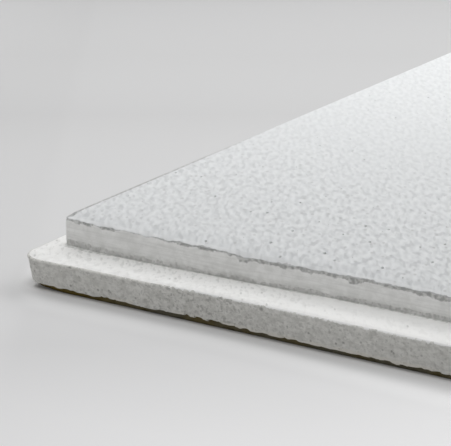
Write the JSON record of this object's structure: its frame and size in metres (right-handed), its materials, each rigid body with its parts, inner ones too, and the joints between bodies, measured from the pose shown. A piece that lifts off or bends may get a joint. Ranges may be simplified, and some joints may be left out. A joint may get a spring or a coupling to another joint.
{
  "type": "suspended ceiling tile",
  "caption": "Square mineral fibre suspended ceiling tile with a raised stippled face and a stepped edge, whose ledge rests on the T-bars of a ceiling grid.",
  "frame": {"origin": "centre of the back, on the plane the tile lies on", "axes": "+Z out of the face, X along the front edge, Y towards the back edge"},
  "size_m": [0.595, 0.595, 0.015],
  "materials": {
    "board": "matt white coat with a fine stipple on the face, smooth on the step and ledge, bare grey fibre on the flange's side and back"
  },
  "bodies": {
    "root": {"tile": "board"}
  },
  "joints": []
}
